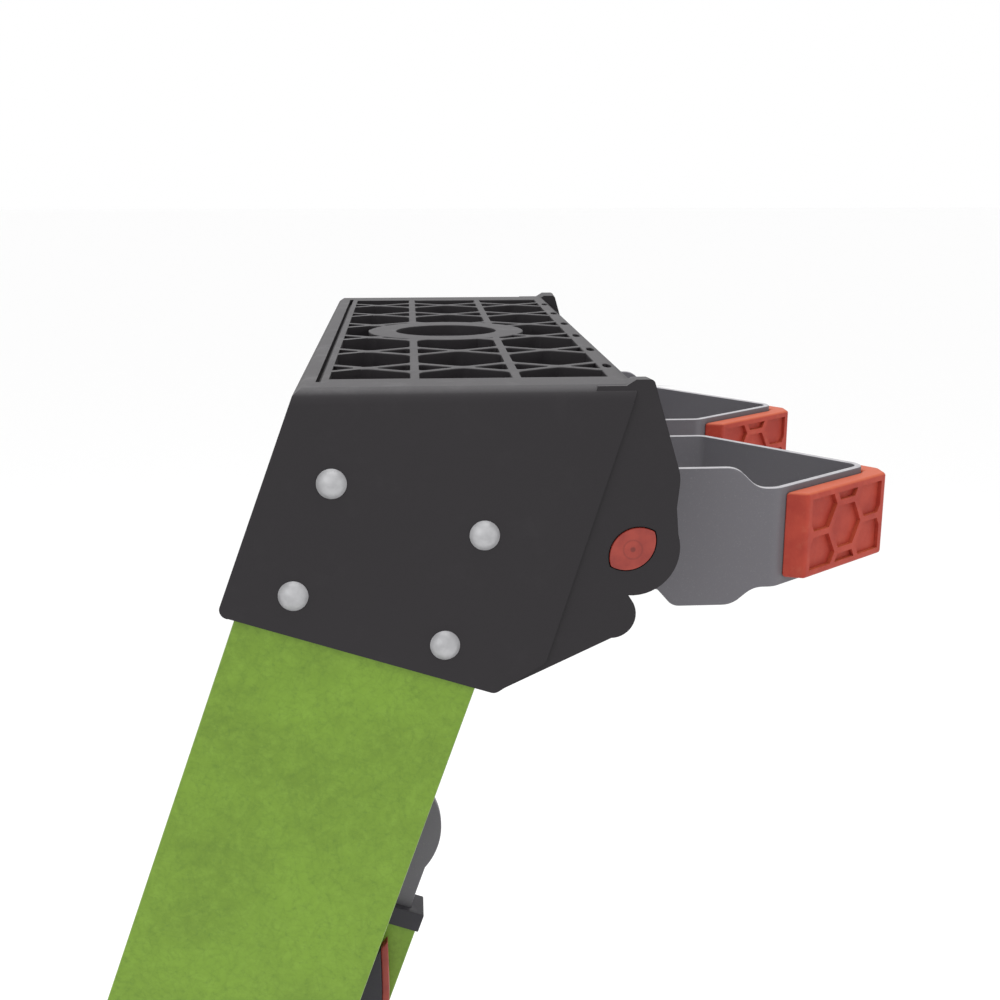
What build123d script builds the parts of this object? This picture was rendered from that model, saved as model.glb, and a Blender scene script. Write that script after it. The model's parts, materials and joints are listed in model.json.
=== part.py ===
from build123d import *
import math
import os

# Combination step ladder: fibreglass front rails with five steps, a folding rear section, a moulded
# top cap and a swing-out wall pad. Millimetres, +Z up, +X towards the wall, +Y to the climber's left.
# It is modelled with the cap's top front edge at the origin, then moved so that the origin is the
# centre of the footprint at floor level.

# Overall stance
LEAN = 20.0  # front rails from upright, degrees
SPLAY = 4.0  # rails spread sideways towards the floor, degrees
STEP_RISE = 287.0
STEP_COUNT = 5
OPEN_ANGLE = 31.0  # rear section's swing to the A frame, degrees
STOW_ANGLE = 110.0  # wall pad's swing from out to stowed, degrees

# Top cap
CAP_LENGTH = 336.6
CAP_DEPTH = 122.6
CAP_SKIRT = 84.7  # down the rails from the cap's top line
CAP_WALL = 3.0
CAP_FRONT_SLOPE = 20.6  # front face from upright, degrees
CAP_EDGE, CAP_SIDE_EDGE, CAP_CORNER = 2.2, 6.2, 3.4
FRONT_WALL = 3.6
DECK_THICKNESS = 23.0
TRAY_DEPTH = 19.5
TRAY_FRONT, TRAY_BACK, TRAY_END = 10.8, 114.6, 23.0
CELL_WIDTH, CELL_PITCH, CELL_SIDE = 38.0, 47.2, 24.0
CELL_ROWS = 7
RIB, CELL_CORNER, CELL_TIP = 3.6, 5.0, 1.4
GROOVE_WIDTH, GROOVE_DEPTH, GROOVE_FRONT, GROOVE_END = 1.9, 3.0, 6.3, 17.0
SLOT_INSET, SLOT_SHORT, SLOT_LONG, SLOT_DEPTH = 4.4, 1.5, 5.2, 4.0
RING_HALF_X, RING_HALF_Y, RING_BAND, RING_FLOOR, RING_SHIFT = 37.0, 34.5, 13.2, 5.0, -3.2
EAR_INSET, EAR_THICKNESS, EAR_BOSS, EAR_BOSS_RADIUS = 1.5, 12.0, 6.0, 14.0
EAR_TIP, EAR_TIP_EDGE, EAR_LOBE, EAR_LOW_LOBE = 2.2, 1.8, 17.6, 9.1
REAR_WALL_V = 86.0

# Front rails: C channels that open inwards
RAIL_SETBACK = 5.8
FRONT_WEB, FRONT_FLANGE, FRONT_WALL_T = 92.0, 30.0, 4.0

# Rear rails nest inboard of the front rails
REAR_GAP = 14.0
REAR_WEB, REAR_FLANGE, REAR_WALL_T = 50.0, 15.0, 3.0
REAR_V = 61.0
REAR_TOP_U = 202.0
END_CAP_TOP, END_CAP_RIM, END_CAP_WALL = 2.0, 6.0, 1.0

# Rear hinge
HINGE_U, HINGE_CLEAR = 171.0, 0.28
HINGE_PIN_R, HINGE_COLLAR_R, HINGE_HEAD_R, HINGE_PLATE_T = 5.0, 7.0, 28.0, 4.0
HINGE_PLATE_END = 262.0
BRACKET_T = 3.0
RUNNING_FIT = 0.05

# Wall pad, in the cap's own directions
PAD_PIVOT_X, PAD_PIVOT_Z = 121.1, -59.9
SHAFT_R, SHAFT_BORE_R, COLLAR_LENGTH, COLLAR_WALL = 8.0, 5.0, 5.0, 4.5
BAND_T, BAND_TOP, BAND_BOTTOM, BAND_BEND_R = 3.0, -49.0, -90.8, 6.0
ARM_TOP, ARM_BOTTOM, HUB_R = -40.3, -98.2, 17.0
ARM_BEND_X, ARM_TALL_X, ARM_CURVE = 187.3, 175.0, 17.0
PEAK_X, PEAK_Y = 236.2, 37.5
INNER_BEND_X, LOOP_GAP, PAD_SIDE_GAP = 180.6, 41.6, 43.1
GRIP_T, GRIP_TOP, GRIP_BOTTOM, NOSE_X = 8.0, -51.5, -87.6, 244.6
GRIP_START, GRIP_BEVEL = 4.0, 5.0
GRIP_HEX, GRIP_RIDGE, GRIP_HEX_DEPTH, GRIP_MARGIN = 10.5, 2.6, 1.8, 3.0

# Release buttons
BUTTON_LONG, BUTTON_SHORT, BUTTON_T, BUTTON_PROUD = 20.4, 14.2, 4.0, 0.6
BUTTON_TILT, BUTTON_TRAVEL, BUTTON_GAP, BUTTON_POCKET = 38.0, 3.0, 0.45, 7.2
STEM_R, STEM_LENGTH = 3.4, 16.0
SPRING_R, SPRING_WIRE, SPRING_TURNS = 5.2, 0.7, 3.0

# Steps
STEP_PLAY, TREAD_BACK_V, TREAD_T = 1.4, 57.0, 3.0
APRON_HEIGHT, APRON_T, END_TAB_T = 34.0, 2.4, 3.0
NOSING_REACH, NOSING_HEIGHT = 7.0, 11.0
TREAD_GROOVES, GROOVE_W, GROOVE_D, GROOVE_STOP = 7, 2.2, 1.0, 8.0
STEP_RIVET_DROP, STEP_RIVET_EDGE = 17.0, 12.0

# Rivets
CAP_RIVET_U, CAP_RIVET_PITCH_U, CAP_RIVET_V, CAP_RIVET_PITCH_V = 29.4, 43.5, 17.4, 58.1
CAP_RIVET_HEAD_R, CAP_RIVET_DOME, CAP_RIVET_R = 5.5, 3.2, 3.2
RIVET_HEAD_R, RIVET_DOME, RIVET_R, RIVET_TAIL_R, RIVET_TAIL = 4.8, 2.2, 2.4, 3.9, 1.8
HOLE_PLAY = 0.1

# Feet
FOOT_PAD, BOOT_WALL, BOOT_HEIGHT, PAD_MARGIN = 10.0, 3.5, 95.0, 3.0
TREAD_SLOTS, SLOT_W, SLOT_D = 6, 4.0, 2.5

# Rear rungs
RUNG_START_U, RUNG_PITCH_U, RUNG_COUNT = 345.0, 350.0, 4
RUNG_WIDTH, RUNG_FLANGE, RUNG_T = 42.0, 20.0, 2.2

# Spreaders
SPREADER_U, SPREADER_FRONT_V, SPREADER_REAR_V = 760.0, 70.0, 86.0
LINK_T, LINK_WIDTH, LINK_GAP, LINK_PIN_R = 2.5, 18.0, 2.5, 4.0
LINK_CLEAR = 2.0  # from the front rail's flange tips

# Lock levers
LEVER_T, LEVER_PIVOT_U, LEVER_PIVOT_V, LEVER_PIN_R = 7.0, 266.0, 90.0, 3.0
LEVER_GRIP_T, LEVER_SWING = 3.2, 22.0

# Knee braces under the lowest step
BRACE_W, BRACE_T, BRACE_REACH, BRACE_DROP, BRACE_TAB, BRACE_V = 18.0, 3.0, 105.0, 110.0, 22.0, 18.0

# Worked-out values
HEIGHT = STEP_RISE * (STEP_COUNT + 1)
BIG = 4.0 * HEIGHT
lean, splay = math.radians(LEAN), math.radians(SPLAY)
RAIL_W = CAP_WALL  # the web's outer face, inwards from the cap's side
WEB_IN_W = RAIL_W + FRONT_WALL_T
TREAD_FRONT_V = FRONT_WALL_T + STEP_PLAY
FLANGE_TIP_W = RAIL_W + FRONT_FLANGE
flange_drift = FRONT_FLANGE * math.sin(lean) * math.sin(splay)  # of a cross pin, over the flange
HINGE_V = FRONT_WEB - FRONT_WALL_T - HINGE_COLLAR_R - flange_drift - HINGE_CLEAR
REAR_W = FLANGE_TIP_W + REAR_GAP
REAR_IN_W = REAR_W + REAR_WALL_T
REAR_BACK_V = REAR_V + REAR_WEB
BRACKET_IN_W = WEB_IN_W + BRACKET_T
PLATE_IN_W = REAR_IN_W + HINGE_PLATE_T
LINK_FRONT_W = FLANGE_TIP_W + LINK_CLEAR
LINK_REAR_W = LINK_FRONT_W + LINK_T + LINK_GAP
PAIR_HALF = CAP_LENGTH / 2 - PAD_SIDE_GAP
LOOP_WIDTH = PAIR_HALF - LOOP_GAP / 2
LOOP_PITCH = LOOP_WIDTH + LOOP_GAP

# The left cheek plane holds the X direction and leans outwards by SPLAY. Its local X is +X, its local
# Y is up the cheek and its local Z is inwards. The side plane is the same plane turned to the rail.
inward = Vector(0, -math.cos(splay), -math.sin(splay))
CHEEK = Plane(origin=(0, CAP_LENGTH / 2, 0), x_dir=(1, 0, 0), z_dir=inward)
rail_back = Vector(
    math.cos(lean), math.sin(lean) * math.sin(splay), -math.sin(lean) * math.cos(splay)
)
SIDE = Plane(origin=(RAIL_SETBACK, CAP_LENGTH / 2, 0), x_dir=rail_back, z_dir=inward)


def side_point(u, v, w):
    """A point u down the left rail, v to the rear and w inwards, in the ladder's frame."""
    return SIDE.from_local_coords(Vector(v, -u, w))


def cheek_xz(u, v):
    """The same point's place in the cheek plane's own X and up directions."""
    x = RAIL_SETBACK - u * math.sin(lean) + v * math.cos(lean)
    return x, -(u * math.cos(lean) + v * math.sin(lean))


def rail_xz(u, v):
    """The same point in true X and Z, for pieces that run straight across the ladder."""
    x, up = cheek_xz(u, v)
    return x, up * math.cos(splay)


def cheek_y(z, w):
    """Where depth w lies along Y on the left side, at height z."""
    return CAP_LENGTH / 2 - z * math.tan(splay) - w / math.cos(splay)


def polygon(points):
    return make_face(Polyline(*points, close=True))


def side_plate(points, w0, w1):
    """A plate on the left side from outline points (u, v), between depths w0 and w1."""
    face = polygon([(v, -u) for u, v in points])
    return SIDE.location * Pos(0, 0, w0) * extrude(face, w1 - w0)


def side_block(u0, u1, v0, v1, w0, w1):
    return side_plate([(u0, v0), (u0, v1), (u1, v1), (u1, v0)], w0, w1)


def side_disc(u, v, radius, w0, w1):
    disc = Cylinder(radius, w1 - w0, align=(Align.CENTER, Align.CENTER, Align.MIN))
    return SIDE.location * Pos(v, -u, w0) * disc


def cheek_plate(face, w0, w1):
    return CHEEK.location * Pos(0, 0, w0) * extrude(face, w1 - w0)


def across(points):
    """A bar of the XZ outline that runs right across the ladder."""
    face = polygon(points)
    return extrude(Plane.XZ.location * face, BIG / 2, both=True)


def between_sides(w):
    """All the space inboard of depth w on both sides, from just above the cap downwards."""
    top_y, low_y = cheek_y(CAP_SKIRT, w), cheek_y(-BIG, w)
    face = polygon([(-top_y, CAP_SKIRT), (top_y, CAP_SKIRT), (low_y, -BIG), (-low_y, -BIG)])
    return extrude(Plane.YZ.location * face, BIG, both=True)


def above(z):
    return Pos(0, 0, z) * Box(BIG, BIG, BIG, align=(Align.CENTER, Align.CENTER, Align.MIN))


def below(z):
    return Pos(0, 0, z) * Box(BIG, BIG, BIG, align=(Align.CENTER, Align.CENTER, Align.MAX))


def y_bar(point, y0, y1, radius):
    """A round bar along Y at the X and Z of a point."""
    bottom = (Align.CENTER, Align.CENTER, Align.MIN)
    bar = Cylinder(radius, y1 - y0, rotation=(-90, 0, 0), align=bottom)
    return Pos(point.X, y0, point.Z) * bar


def side_pin(u, v, w0, w1, radius, w_axis):
    """A round pin along Y between depths w0 and w1; its axis crosses (u, v) at depth w_axis."""
    return y_bar(side_point(u, v, w_axis), side_point(u, v, w1).Y, side_point(u, v, w0).Y, radius)


def opened(shape):
    """The shape as it stands when the rear section is swung out."""
    return shape.rotate(Axis((hinge.X, 0, hinge.Z), (0, -1, 0)), OPEN_ANGLE)


def closed(shape):
    return shape.rotate(Axis((hinge.X, 0, hinge.Z), (0, -1, 0)), -OPEN_ANGLE)


def mirrored(shape):
    return mirror(shape, about=Plane.XZ)


def dome(radius, height):
    """A shallow domed rivet head, its flat face on the XY plane and its dome towards -Z."""
    ball = (radius**2 + height**2) / (2 * height)
    sphere = Pos(0, 0, ball - height) * Sphere(ball)
    return sphere & below(0)


def rivet(u, v, w_out, w_in, shank=RIVET_R, head=RIVET_HEAD_R, height=RIVET_DOME):
    """A rivet through the left side from depth w_out, where its dome sits, to its tail at w_in."""
    bottom = (Align.CENTER, Align.CENTER, Align.MIN)
    body = dome(head, height) + Cylinder(shank, w_in - w_out, align=bottom)
    tail_r = RIVET_TAIL_R * shank / RIVET_R
    body += Pos(0, 0, w_in - w_out) * Cylinder(tail_r, RIVET_TAIL, align=bottom)
    return SIDE.location * Pos(v, -u, w_out) * body


def both_sides(shapes):
    return list(shapes) + [mirrored(shape) for shape in shapes]


hinge = side_point(HINGE_U, HINGE_V, (REAR_W + PLATE_IN_W) / 2)
pad_pivot = Vector(PAD_PIVOT_X, 0, PAD_PIVOT_Z)
cap_rivet_spots = [
    (CAP_RIVET_U + i * CAP_RIVET_PITCH_U, CAP_RIVET_V + j * CAP_RIVET_PITCH_V)
    for i in range(2)
    for j in range(2)
]


# ---- Top cap -------------------------------------------------------------------------------------

front_slope = math.radians(CAP_FRONT_SLOPE)
front_run = math.tan(front_slope) * math.cos(splay)  # X along the front edge for each unit up the cheek
front_low_up = -(CAP_SKIRT + RAIL_SETBACK * math.sin(lean)) / (math.cos(lean) + front_run * math.sin(lean))
front_low = (front_low_up * front_run, front_low_up)
skirt_back = cheek_xz(CAP_SKIRT, 99.2)
crease_low = (skirt_back[0] + 18.9, skirt_back[1] + 11.4)


def cheek_outline():
    """The cheek up to the crease where the ear steps in."""
    face = polygon([(0, 0), front_low, skirt_back, crease_low, (CAP_DEPTH, 0)])
    low = face.vertices().sort_by(Axis.Y)[:3]
    return fillet(low, CAP_CORNER)


def ear_outline():
    """The rear ear: a slanted back edge, a round lobe about the pad's pivot and a lower lobe."""
    px, pz = PAD_PIVOT_X, PAD_PIVOT_Z
    root_top, root_low = cheek_xz(-40.0, 94.0), cheek_xz(CAP_SKIRT, 94.0)
    tip = [(px - 3.0, 0), (px + 0.5, EAR_TIP), (px + 7.0, EAR_TIP)]
    shoulder = (px + 17.4, pz + 26.5)
    waist = [(px + 16.1, pz + 15.0), (px + 17.0, pz + 3.0), (px, pz)]
    low = [(px - 7.6, pz - 24.6), (px - 7.6, pz - 24.6 - EAR_LOW_LOBE), skirt_back]
    back = polygon([(root_top[0], 0), *tip, shoulder, *waist, *low, root_low])
    back = fillet(back.vertices().sort_by_distance(shoulder)[0], 14.0)
    back = fillet(back.vertices().sort_by_distance(tip[2])[0], EAR_TIP_EDGE)
    back += Pos(px, pz) * Circle(EAR_LOBE)
    return back + Pos(px - 7.6, pz - 24.6) * Circle(EAR_LOW_LOBE)


def leaf(long, short):
    """A leaf shape: two arcs that meet in points at its ends."""
    radius = (long**2 + short**2) / (4 * short)
    offset_y = radius - short / 2
    shape = Pos(0, offset_y) * Circle(radius) & Pos(0, -offset_y) * Circle(radius)
    return Rot(0, 0, BUTTON_TILT) * shape


def tray_cells():
    """The deck's open cells: hexagons in three columns, with small triangles where they meet."""
    cells = Sketch()
    half_w, half_s, half_p = CELL_WIDTH / 2, CELL_SIDE / 2, CELL_PITCH / 2
    mid = (TRAY_FRONT + TRAY_BACK) / 2 - 1.2
    gap = RIB / 2
    hexagon = [(0, half_p), (half_w, half_s), (half_w, -half_s), (0, -half_p)]
    hexagon += [(-half_w, -half_s), (-half_w, half_s)]
    cell = offset(polygon(hexagon), -gap, kind=Kind.INTERSECTION)
    cell = fillet(cell.vertices(), CELL_CORNER)
    corner = polygon([(0, half_p), (half_w, CELL_PITCH - half_s), (half_w, half_s)])
    corner = offset(corner, -gap, kind=Kind.INTERSECTION)
    corner = fillet(corner.vertices(), CELL_TIP)
    for column in (-1, 0, 1):
        for row in range(CELL_ROWS):
            y = (row - (CELL_ROWS - 1) / 2) * CELL_PITCH
            here = Pos(mid + column * CELL_WIDTH, y)
            cells += here * cell
            if row < CELL_ROWS - 1:
                cells += here * corner
                cells += here * mirror(corner, about=Plane.YZ)
    tray = Pos((TRAY_FRONT + TRAY_BACK) / 2, 0) * Rectangle(
        TRAY_BACK - TRAY_FRONT, CAP_LENGTH - 2 * TRAY_END
    )
    ring_place = Pos(mid + RING_SHIFT, 0)
    ring = ring_place * Ellipse(RING_HALF_X, RING_HALF_Y)
    centre = ring_place * Ellipse(RING_HALF_X - RING_BAND, RING_HALF_Y - RING_BAND)
    return (cells & tray) - ring, centre


def make_cap():
    edge = CAP_EDGE
    slope = math.tan(front_slope)
    deck_back = CAP_DEPTH - DECK_THICKNESS * math.tan(lean)
    deck_front = -DECK_THICKNESS * slope
    deck = across(
        [
            (edge, 0),
            (-edge * slope, -edge),
            (deck_front, -DECK_THICKNESS),
            (deck_back, -DECK_THICKNESS),
            (CAP_DEPTH - edge * math.tan(lean), -edge),
            (CAP_DEPTH - edge, 0),
        ]
    )
    front_x = front_low[0] + FRONT_WALL / math.cos(front_slope)
    low_z = front_low[1] * math.cos(splay)
    face = polygon(
        [
            (deck_front, -DECK_THICKNESS),
            (front_low[0], low_z),
            (front_x, low_z - (front_x - front_low[0]) * math.tan(lean)),
            (deck_front + FRONT_WALL / math.cos(front_slope), -DECK_THICKNESS),
        ]
    )
    face = fillet(face.vertices().sort_by_distance((front_low[0], low_z))[0], CAP_CORNER)
    face = extrude(Plane.XZ.location * face, BIG / 2, both=True)
    wall_top = (REAR_WALL_V * math.sin(lean) - DECK_THICKNESS) / math.cos(lean)
    back = across(
        [
            rail_xz(-wall_top, REAR_WALL_V - FRONT_WALL),
            rail_xz(-wall_top, REAR_WALL_V),
            rail_xz(CAP_SKIRT, REAR_WALL_V),
            rail_xz(CAP_SKIRT, REAR_WALL_V - FRONT_WALL),
        ]
    )
    shell = (deck + face) & between_sides(0)
    rims = shell.edges().filter_by(Axis.X).filter_by(lambda e: e.center().Z > -0.1)
    shell = fillet(rims, CAP_SIDE_EDGE)
    shell += back & between_sides(FLANGE_TIP_W + 2.0)
    cheek = cheek_plate(cheek_outline(), 0, CAP_WALL) & below(-CAP_SIDE_EDGE)
    ear = cheek_plate(ear_outline(), EAR_INSET, EAR_INSET + EAR_THICKNESS)
    boss_in = cheek_y(PAD_PIVOT_Z, EAR_INSET + EAR_THICKNESS) - EAR_BOSS
    boss = y_bar(pad_pivot, boss_in, boss_in + EAR_BOSS + 2.0, EAR_BOSS_RADIUS)
    pocket = CHEEK.location * Pos(PAD_PIVOT_X, PAD_PIVOT_Z, 0) * extrude(
        leaf(BUTTON_LONG + 2 * BUTTON_GAP, BUTTON_SHORT + 2 * BUTTON_GAP), EAR_INSET + BUTTON_POCKET
    )
    bore_end = cheek_y(PAD_PIVOT_Z, EAR_INSET + BUTTON_POCKET) - 2.0
    bore = y_bar(pad_pivot, boss_in - 1.0, bore_end, SHAFT_R + RUNNING_FIT)
    stem_hole = y_bar(pad_pivot, bore_end - 1.0, bore_end + 12.0, STEM_R + 0.3)
    side = cheek + ear + boss - pocket - bore - stem_hole
    for u, v in cap_rivet_spots:
        side -= side_disc(u, v, CAP_RIVET_R + HOLE_PLAY, -5.0, CAP_WALL + 5.0)
    cap = shell + side + mirrored(side)
    cells, centre = tray_cells()
    cap -= extrude(cells, -TRAY_DEPTH)
    cap -= extrude(centre, -RING_FLOOR)
    hang = (Align.MIN, Align.CENTER, Align.MAX)
    groove = Box(GROOVE_WIDTH, CAP_LENGTH - 2 * GROOVE_END, GROOVE_DEPTH, align=hang)
    cap -= Pos(GROOVE_FRONT, 0, 0) * groove
    for row in range(CELL_ROWS - 1):
        y = (row - (CELL_ROWS - 2) / 2) * CELL_PITCH
        slot = Pos(CAP_DEPTH - SLOT_INSET, y) * Ellipse(SLOT_SHORT, SLOT_LONG)
        cap -= extrude(slot, -SLOT_DEPTH)
    return cap


def make_cap_rivets():
    head = dict(shank=CAP_RIVET_R, head=CAP_RIVET_HEAD_R, height=CAP_RIVET_DOME)
    return both_sides([rivet(u, v, 0, BRACKET_IN_W, **head) for u, v in cap_rivet_spots])


# ---- Front rails, brackets and steps -------------------------------------------------------------


def channel(v0, web, w0, flange, wall, u0, u1):
    outer = side_block(u0, u1, v0, v0 + web, w0, w0 + flange)
    inner = side_block(u0 - 1, u1 + 1, v0 + wall, v0 + web - wall, w0 + wall, w0 + flange + 1)
    return outer - inner


def step_drop(number):
    """A step's depth below the cap's top; step 1 is the lowest."""
    return (STEP_COUNT + 1 - number) * STEP_RISE


def step_u(number, v):
    """How far down the rail a step's tread lies, at a place v across the rail."""
    return (step_drop(number) / math.cos(splay) - v * math.sin(lean)) / math.cos(lean)


def step_rivet_spots(number):
    places = (TREAD_FRONT_V + STEP_RIVET_EDGE, TREAD_BACK_V - STEP_RIVET_EDGE)
    return [(step_u(number, v) + STEP_RIVET_DROP, v) for v in places]


def brace_spot():
    x = cheek_xz(step_u(1, BRACE_V), BRACE_V)[0]
    z = -step_drop(1) - BRACE_DROP - BRACE_TAB / 2
    down = -z / math.cos(splay)
    u = (down * math.cos(lean)) - (x - RAIL_SETBACK) * math.sin(lean)
    v = (down * math.sin(lean)) + (x - RAIL_SETBACK) * math.cos(lean)
    return x, z, u, v


def make_front_rail():
    rail = channel(0, FRONT_WEB, RAIL_W, FRONT_FLANGE, FRONT_WALL_T, -60.0, HEIGHT * 1.2)
    rail &= below(-DECK_THICKNESS - 1.0)
    rail &= above(-HEIGHT + FOOT_PAD + BOOT_WALL)
    holes = [(u, v, CAP_RIVET_R) for u, v in cap_rivet_spots]
    for number in range(1, STEP_COUNT + 1):
        holes += [(u, v, RIVET_R) for u, v in step_rivet_spots(number)]
    holes += [(*brace_spot()[2:], RIVET_R)]
    holes += [(u, v, RIVET_R) for u, v in foot_rivet_spots(FRONT_WEB, 0.0)]
    for u, v, radius in holes:
        rail -= side_disc(u, v, radius + HOLE_PLAY, RAIL_W - 2, WEB_IN_W + 2)
    return rail - side_pin(*front_spot, RAIL_W - 2, WEB_IN_W + 2, LINK_PIN_R + HOLE_PLAY, link_w)


def make_hinge_bracket():
    inner_v0, inner_v1 = FRONT_WALL_T + 2.0, FRONT_WEB - FRONT_WALL_T - 0.5
    plate = side_plate(
        [
            (-30.0, inner_v0),
            (-30.0, inner_v1),
            (HINGE_U + 16.0, inner_v1),
            (HINGE_U + 16.0, inner_v1 - 20.0),
            (CAP_SKIRT + 26.0, inner_v1 - 27.0),
            (CAP_SKIRT + 8.0, inner_v0),
        ],
        WEB_IN_W,
        BRACKET_IN_W,
    )
    plate &= below(-DECK_THICKNESS - 1.5)
    for u, v in cap_rivet_spots:
        plate -= side_disc(u, v, CAP_RIVET_R + HOLE_PLAY, WEB_IN_W - 2, BRACKET_IN_W + 2)
    return plate - y_bar(hinge, hinge.Y - 60, hinge.Y + 60, HINGE_PIN_R)


def make_hinge_pin():
    outer = side_point(HINGE_U, HINGE_V, WEB_IN_W + 0.6).Y
    collar_in = side_point(HINGE_U, HINGE_V, REAR_IN_W - 1.0).Y
    bracket_in = side_point(HINGE_U, HINGE_V, BRACKET_IN_W).Y - 0.6
    plate_in = side_point(HINGE_U, HINGE_V, PLATE_IN_W).Y - 1.0
    pin = y_bar(hinge, plate_in - 4.0, outer, HINGE_PIN_R)
    pin += y_bar(hinge, collar_in, bracket_in, HINGE_COLLAR_R)
    pin += y_bar(hinge, plate_in - 4.0, plate_in, HINGE_PIN_R + 3.5)
    return pin


def make_step(number):
    z = -step_drop(number)

    def at(v, drop):
        return rail_xz(step_u(number, v) + drop / math.cos(lean), v)

    def bar(v0, v1, depth):
        return across([at(v0, 0), at(v1, 0), at(v1, depth), at(v0, depth)])

    tread = bar(TREAD_FRONT_V, TREAD_BACK_V, TREAD_T)
    front = bar(TREAD_FRONT_V, TREAD_FRONT_V + APRON_T, APRON_HEIGHT)
    back = bar(TREAD_BACK_V - APRON_T, TREAD_BACK_V, APRON_HEIGHT)
    tab = bar(TREAD_FRONT_V, TREAD_BACK_V, APRON_HEIGHT)
    body = (tread + front + back) & between_sides(WEB_IN_W)
    body += tab & (between_sides(WEB_IN_W) - between_sides(WEB_IN_W + END_TAB_T))
    x0 = at(TREAD_FRONT_V, 0)[0]
    tip = x0 - NOSING_REACH
    low = z - NOSING_HEIGHT
    nosing = across([(x0 + 1, z), (tip + 2, z), (tip, z - 2), (tip, low + 2), (tip + 2, low), (x0 + 1, low)])
    body += nosing & between_sides(FLANGE_TIP_W + STEP_PLAY)
    span = at(TREAD_BACK_V, 0)[0] - x0
    for i in range(TREAD_GROOVES):
        x = x0 + span * (i + 0.5) / TREAD_GROOVES
        groove = Pos(x, 0, z) * Box(GROOVE_W, BIG, 2 * GROOVE_D)
        body -= groove & between_sides(WEB_IN_W + GROOVE_STOP)
    for u, v in step_rivet_spots(number):
        hole = side_disc(u, v, RIVET_R + HOLE_PLAY, WEB_IN_W - 2, WEB_IN_W + END_TAB_T + 2)
        body -= hole + mirrored(hole)
    if number == 1:
        for hole in both_sides([y_hole_down(brace_step_point())]):
            body -= hole
    return body


def brace_step_point():
    x, z = brace_spot()[0], -step_drop(1) - TREAD_T
    y = cheek_y(z, WEB_IN_W) - BRACE_REACH - BRACE_TAB / 2
    return Vector(x, y, z)


def y_hole_down(point):
    return Pos(point.X, point.Y, point.Z) * Cylinder(RIVET_R + HOLE_PLAY, 20.0)


def make_brace():
    """A bent strap from the lowest step's underside to the rail's web."""
    x, _, u, v = brace_spot()
    under = -step_drop(1) - TREAD_T - BRACE_T / 2
    low = under - BRACE_DROP
    end = low - BRACE_TAB
    mid_w = WEB_IN_W + BRACE_T / 2
    y_step = cheek_y(under, mid_w) - BRACE_REACH
    at_web = [(cheek_y(low, mid_w), low), (cheek_y(end, mid_w), end)]
    strip = trace(Polyline((y_step - BRACE_TAB, under), (y_step, under), *at_web), BRACE_T)
    strap = Pos(x, 0, 0) * extrude(Plane.YZ.location * strip, BRACE_W / 2, both=True)
    strap -= side_disc(u, v, RIVET_R + HOLE_PLAY, WEB_IN_W - 2, WEB_IN_W + BRACE_T + 3)
    return strap - y_hole_down(brace_step_point())


def make_brace_rivets():
    _, _, u, v = brace_spot()
    at_rail = rivet(u, v, RAIL_W, WEB_IN_W + BRACE_T)
    point = brace_step_point()
    top = (Align.CENTER, Align.CENTER, Align.MAX)
    grip = TREAD_T + BRACE_T
    upright = Cylinder(RIVET_R, grip - GROOVE_D, align=top)
    upright += Pos(0, 0, -grip + GROOVE_D) * Cylinder(RIVET_TAIL_R, RIVET_TAIL, align=top)
    at_step = Pos(point.X, point.Y, point.Z + TREAD_T - GROOVE_D) * upright
    return both_sides([at_rail, at_step])


def make_step_rivets():
    spots = [spot for number in range(1, STEP_COUNT + 1) for spot in step_rivet_spots(number)]
    return both_sides([rivet(u, v, RAIL_W, WEB_IN_W + END_TAB_T) for u, v in spots])


# ---- Feet ----------------------------------------------------------------------------------------


def foot_rivet_spots(web, v0):
    end = (HEIGHT - FOOT_PAD) / math.cos(lean) / math.cos(splay)
    return [(end - web * math.tan(lean) * 0.5 - 62.0, v0 + web * share) for share in (0.25, 0.75)]


def sleeve_block(v0, web, w0, depth, margin):
    v_range = (v0 - margin, v0 + web + margin)
    return side_block(HEIGHT * 0.5, HEIGHT * 1.4, *v_range, w0 - margin, w0 + depth + margin)


def foot_pair(v0, web, w0, depth, lift):
    """A boot round the rail's end and a ribbed sole pad under it, flat on the floor once lifted."""
    floor = -HEIGHT
    slab = above(floor) & below(floor + FOOT_PAD)
    sole = lift(sleeve_block(v0, web, w0, depth, BOOT_WALL + PAD_MARGIN)) & slab
    box = sole.bounding_box()
    for i in range(TREAD_SLOTS):
        x = box.min.X + (box.max.X - box.min.X) * (i + 0.5) / TREAD_SLOTS
        sole -= Pos(x, 0, floor) * Box(SLOT_W, BIG, 2 * SLOT_D)
    zone = above(floor + FOOT_PAD) & below(floor + FOOT_PAD + BOOT_HEIGHT)
    boot = lift(sleeve_block(v0, web, w0, depth, BOOT_WALL)) & zone
    inner = lift(sleeve_block(v0, web, w0, depth, 0.0)) & above(floor + FOOT_PAD + BOOT_WALL)
    return boot - inner, sole


def unmoved(shape):
    return shape


def make_front_foot():
    boot, sole = foot_pair(0.0, FRONT_WEB, RAIL_W, FRONT_FLANGE, unmoved)
    for u, v in foot_rivet_spots(FRONT_WEB, 0.0):
        boot -= side_disc(u, v, RIVET_R + HOLE_PLAY, RAIL_W - BOOT_WALL - 3, RAIL_W + 1)
    return boot, sole


def make_foot_rivets():
    spots = foot_rivet_spots(FRONT_WEB, 0.0)
    return both_sides([rivet(u, v, RAIL_W - BOOT_WALL, WEB_IN_W) for u, v in spots])


def make_rear_foot():
    boot, sole = foot_pair(REAR_V, REAR_WEB, REAR_W, REAR_FLANGE, opened)
    return closed(boot), closed(sole)


# ---- Rear section --------------------------------------------------------------------------------

hinge_plate_spots = [(REAR_TOP_U + 18.0, REAR_V + 25.0), (REAR_TOP_U + 48.0, REAR_V + 14.0)]
hinge_plate_spots += [(REAR_TOP_U + 48.0, REAR_V + 36.0)]


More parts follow.
